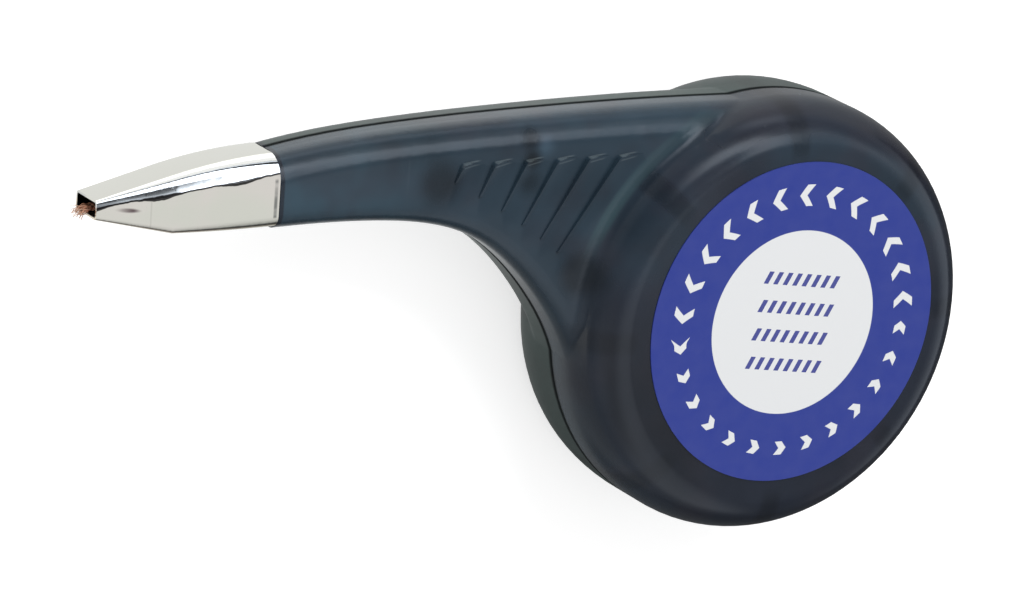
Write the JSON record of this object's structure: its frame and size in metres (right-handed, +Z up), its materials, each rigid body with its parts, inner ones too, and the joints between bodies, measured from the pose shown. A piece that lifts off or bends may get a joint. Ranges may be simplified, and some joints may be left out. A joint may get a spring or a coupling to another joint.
{
  "type": "desoldering wick dispenser",
  "caption": "Pen-shaped dispenser of flat copper desoldering wick: a round drum with a spool inside, a tapering handle, and a metal nozzle that the wick comes out of.",
  "frame": {"origin": "drum's axis, on the flat rear face that the part lies on", "axes": "+Z up along the drum's axis towards the labelled front face, -X towards the nozzle, +Y towards the straight edge of the handle"},
  "size_m": [0.1068, 0.049, 0.018],
  "materials": {
    "shell_front": "satin translucent",
    "shell_rear": "satin translucent",
    "nozzle": "polished",
    "guide": "matte",
    "spool": "satin",
    "wick": "bare copper braid",
    "label": "printed film"
  },
  "bodies": {
    "housing": {"front_shell": "shell_front", "rear_shell": "shell_rear", "nozzle": "nozzle", "wick_guide": "guide", "wick_feed": "wick", "label": "label"},
    "spool": {"spool_hub": "spool", "spool_flange": "spool", "wick_coil": "wick"},
    "wick": {"wick_end": "wick"}
  },
  "joints": [
    {"name": "spool_spin", "type": "hinge", "parent": "housing", "child": "spool", "pos_m": [0, 0, 0.00915], "axis": [0, 0, 1], "range_deg": [0, 83]},
    {"name": "wick_slide", "type": "slide", "parent": "housing", "child": "wick", "axis": [-1, 0, 0], "range_m": [0, 0.0252]}
  ],
  "couplings": [
    {"joint": "wick_slide", "follows": "spool_spin", "m_per_rad": 0.0173}
  ]
}
